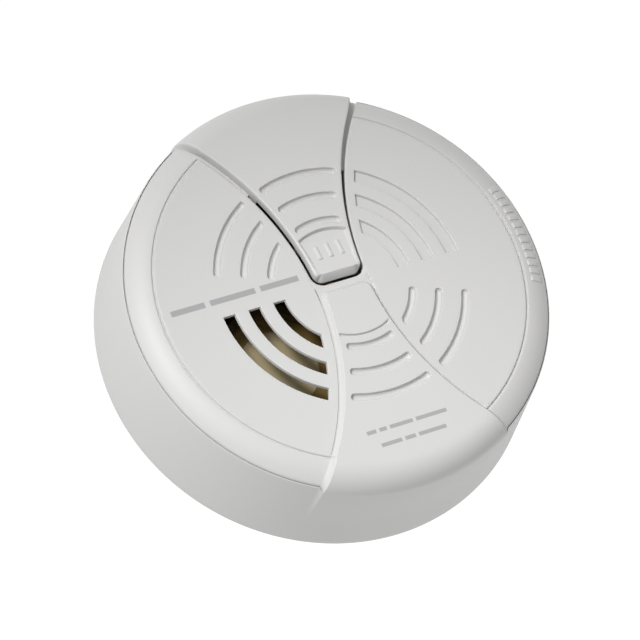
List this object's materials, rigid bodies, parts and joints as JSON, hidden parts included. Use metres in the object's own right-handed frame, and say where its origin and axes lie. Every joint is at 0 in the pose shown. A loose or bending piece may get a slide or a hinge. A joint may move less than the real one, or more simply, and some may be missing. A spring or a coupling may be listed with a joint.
{
  "type": "carbon monoxide alarm",
  "caption": "Round battery carbon monoxide alarm: drafted shell with hourglass panels, ringed slots, hinged test button, horn, sensor, board, and twist-lock wall bracket.",
  "frame": {"origin": "centre of the back of the wall bracket, on the wall plane", "axes": "+Z out of the wall through the face, +Y from the centre towards the test button panel, +X to the right as seen from the front"},
  "size_m": [0.127, 0.127, 0.0381],
  "materials": {
    "cover_plastic": "fine matte, off-white",
    "housing_plastic": "matte, light grey",
    "battery_jacket_paint": "printed metal jacket, plain",
    "cell_wrap": "satin",
    "plated_steel": "plated",
    "wire_insulation": "satin",
    "board_laminate": "brown paper laminate",
    "solder": "bright solder",
    "sensor_steel": "stamped can",
    "sensor_plastic": "white",
    "contact_metal": "plated pins",
    "black_plastic": "black",
    "disc_brass": "thin sheet",
    "ceramic_element": "fired, silvered",
    "plunger_plastic": "ivory",
    "led_epoxy": "tinted epoxy",
    "capacitor_sleeve": "sleeve",
    "resistor_body": "lacquer",
    "copper_wire": "enamelled copper wire"
  },
  "bodies": {
    "wall_bracket": {"mounting_bracket": "housing_plastic"},
    "alarm_body": {"back_housing": "housing_plastic", "front_cover": "cover_plastic", "battery_jacket": "battery_jacket_paint", "battery_cells": "cell_wrap", "battery_terminals": "plated_steel", "battery_contacts": "plated_steel", "battery_leads": "wire_insulation", "circuit_board": "board_laminate", "solder_joints": "solder", "board_screws": "plated_steel", "cover_screws": "plated_steel", "co_sensor_can": "sensor_steel", "co_sensor_cap": "sensor_plastic", "co_sensor_pins": "contact_metal", "horn_cup": "black_plastic", "horn_retaining_ring": "black_plastic", "piezo_disc": "disc_brass", "piezo_ceramic": "ceramic_element", "horn_contact_pins": "contact_metal", "test_switch_body": "black_plastic", "status_leds": "led_epoxy", "microcontroller": "black_plastic", "microcontroller_leads": "plated_steel", "capacitors": "capacitor_sleeve", "resistors": "resistor_body", "transistors": "black_plastic", "horn_coil_core": "black_plastic", "horn_coil_winding": "copper_wire"},
    "door": {"battery_door": "housing_plastic"},
    "button": {"test_button": "cover_plastic"},
    "switch_plunger": {"test_switch_plunger": "plunger_plastic"}
  },
  "joints": [
    {"name": "alarm_twist", "type": "hinge", "parent": "wall_bracket", "child": "alarm_body", "pos_m": [0, 0, 0], "axis": [0, 0, 1], "range_deg": [0, 15]},
    {"name": "battery_door_hinge", "type": "hinge", "parent": "alarm_body", "child": "door", "pos_m": [0.027, -0.026, 0.0072], "axis": [-1, 0, 0], "range_deg": [0, 90]},
    {"name": "test_button_press", "type": "hinge", "parent": "alarm_body", "child": "button", "pos_m": [0, 0.03345, 0.0361], "axis": [1, 0, 0], "range_deg": [0, 2], "stiffness_Nm_per_rad": 4.5},
    {"name": "test_switch_plunge", "type": "slide", "parent": "alarm_body", "child": "switch_plunger", "axis": [0, 0, -1], "range_m": [0, 0.00049]}
  ],
  "couplings": [
    {"joint": "test_switch_plunge", "follows": "test_button_press", "m_per_rad": 0.01345}
  ]
}
